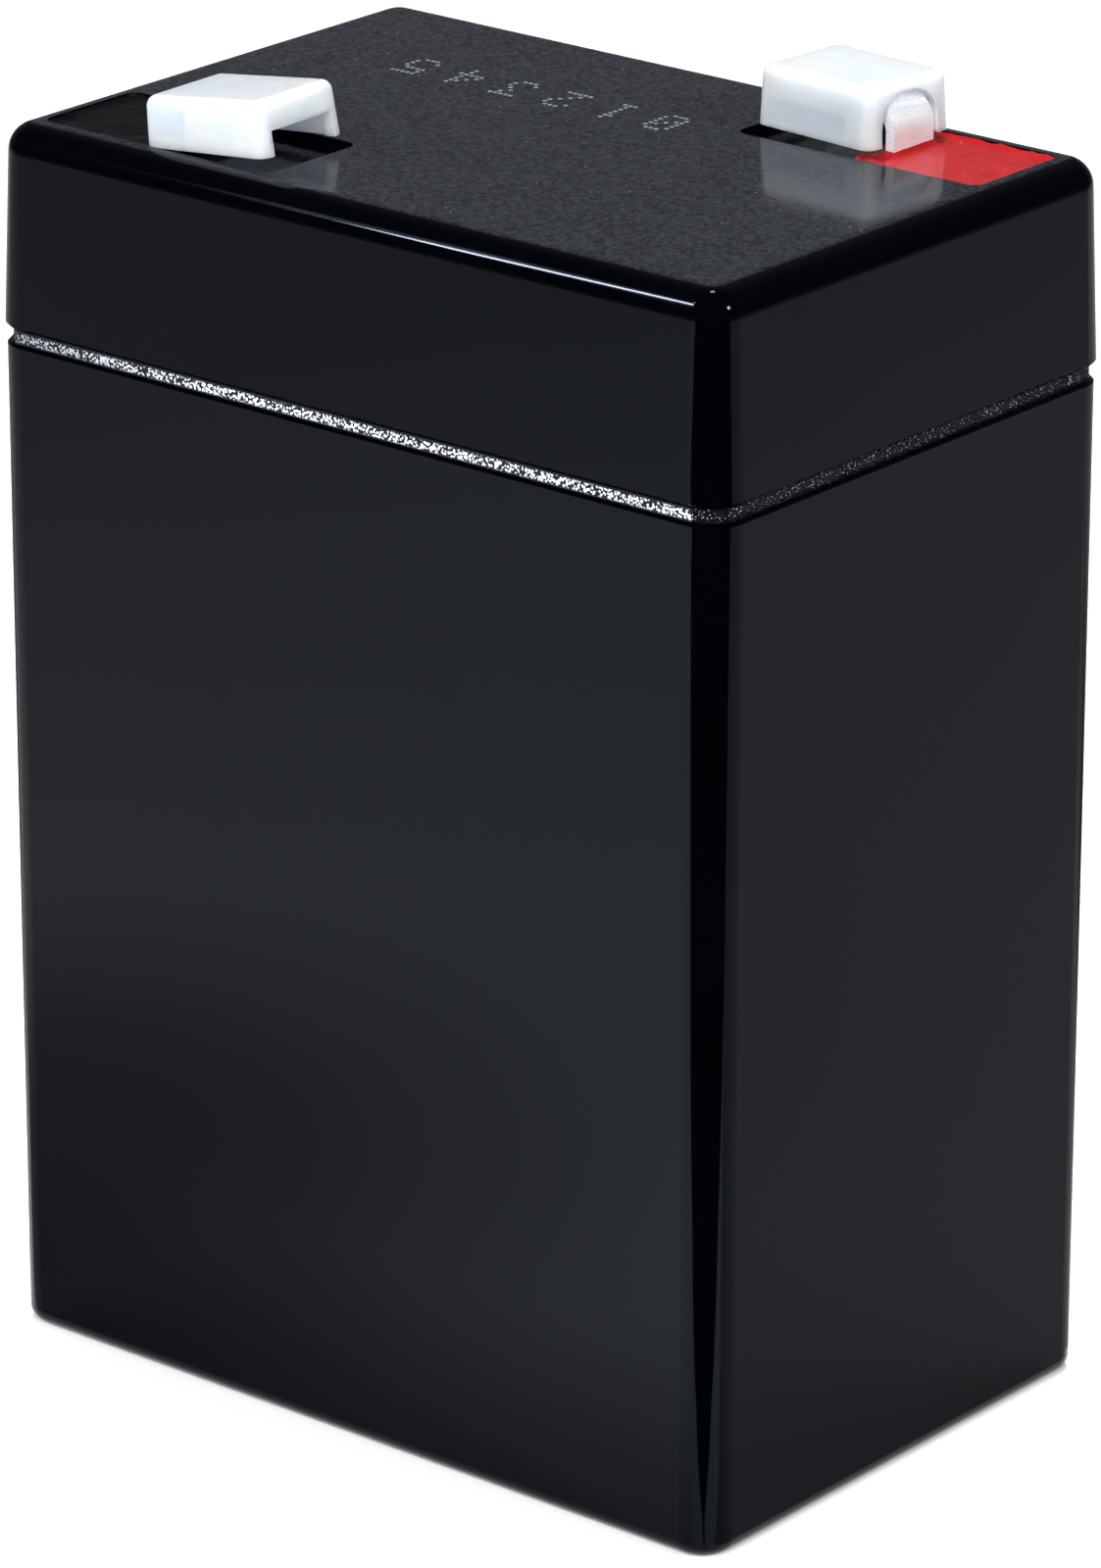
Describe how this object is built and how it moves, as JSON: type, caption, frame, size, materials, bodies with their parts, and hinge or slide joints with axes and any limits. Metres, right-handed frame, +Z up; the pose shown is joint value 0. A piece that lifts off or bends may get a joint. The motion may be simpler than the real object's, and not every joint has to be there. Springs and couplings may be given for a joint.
{
  "type": "sealed lead acid battery",
  "caption": "Upright block battery in a two-part black case, with two recessed flat tab terminals on top under push-on translucent caps.",
  "frame": {"origin": "middle of the underside of the case, on the surface that the battery stands on", "axes": "+Z up, X along the long side of the case, Y along its short side, the positive terminal over the +X +Y corner"},
  "size_m": [0.07, 0.047, 0.1026],
  "materials": {
    "case_plastic": "moulded, glossy, black",
    "adhesive": "cured adhesive with pale specks",
    "glass_mat": "absorbent glass mat",
    "positive_paste": "dull brown paste on a lead grid",
    "negative_paste": "dull grey paste on a lead grid",
    "lead": "cast lead",
    "seal_rubber": "soft black rubber",
    "tinned_tab": "tinned brass sheet",
    "red_resin": "cured red casting resin",
    "black_resin": "cured black casting resin",
    "cap_plastic": "milky translucent moulding"
  },
  "bodies": {
    "root": {"container": "case_plastic", "outer_cover": "case_plastic", "inner_cover": "case_plastic", "cover_adhesive": "adhesive", "inner_cover_adhesive": "adhesive", "cell_1_separators": "glass_mat", "cell_1_positive_plates": "positive_paste", "cell_1_positive_strap": "lead", "cell_1_negative_plates": "negative_paste", "cell_1_negative_strap": "lead", "valve_cap_1": "seal_rubber", "cell_2_separators": "glass_mat", "cell_2_positive_plates": "positive_paste", "cell_2_positive_strap": "lead", "cell_2_negative_plates": "negative_paste", "cell_2_negative_strap": "lead", "valve_cap_2": "seal_rubber", "cell_3_separators": "glass_mat", "cell_3_positive_plates": "positive_paste", "cell_3_positive_strap": "lead", "cell_3_negative_plates": "negative_paste", "cell_3_negative_strap": "lead", "valve_cap_3": "seal_rubber", "partition_weld_1": "lead", "partition_weld_2": "lead", "positive_terminal": "tinned_tab", "positive_potting": "red_resin", "positive_post_seal": "seal_rubber", "positive_terminal_cap": "cap_plastic", "negative_terminal": "tinned_tab", "negative_potting": "black_resin", "negative_post_seal": "seal_rubber", "negative_terminal_cap": "cap_plastic"}
  },
  "joints": []
}
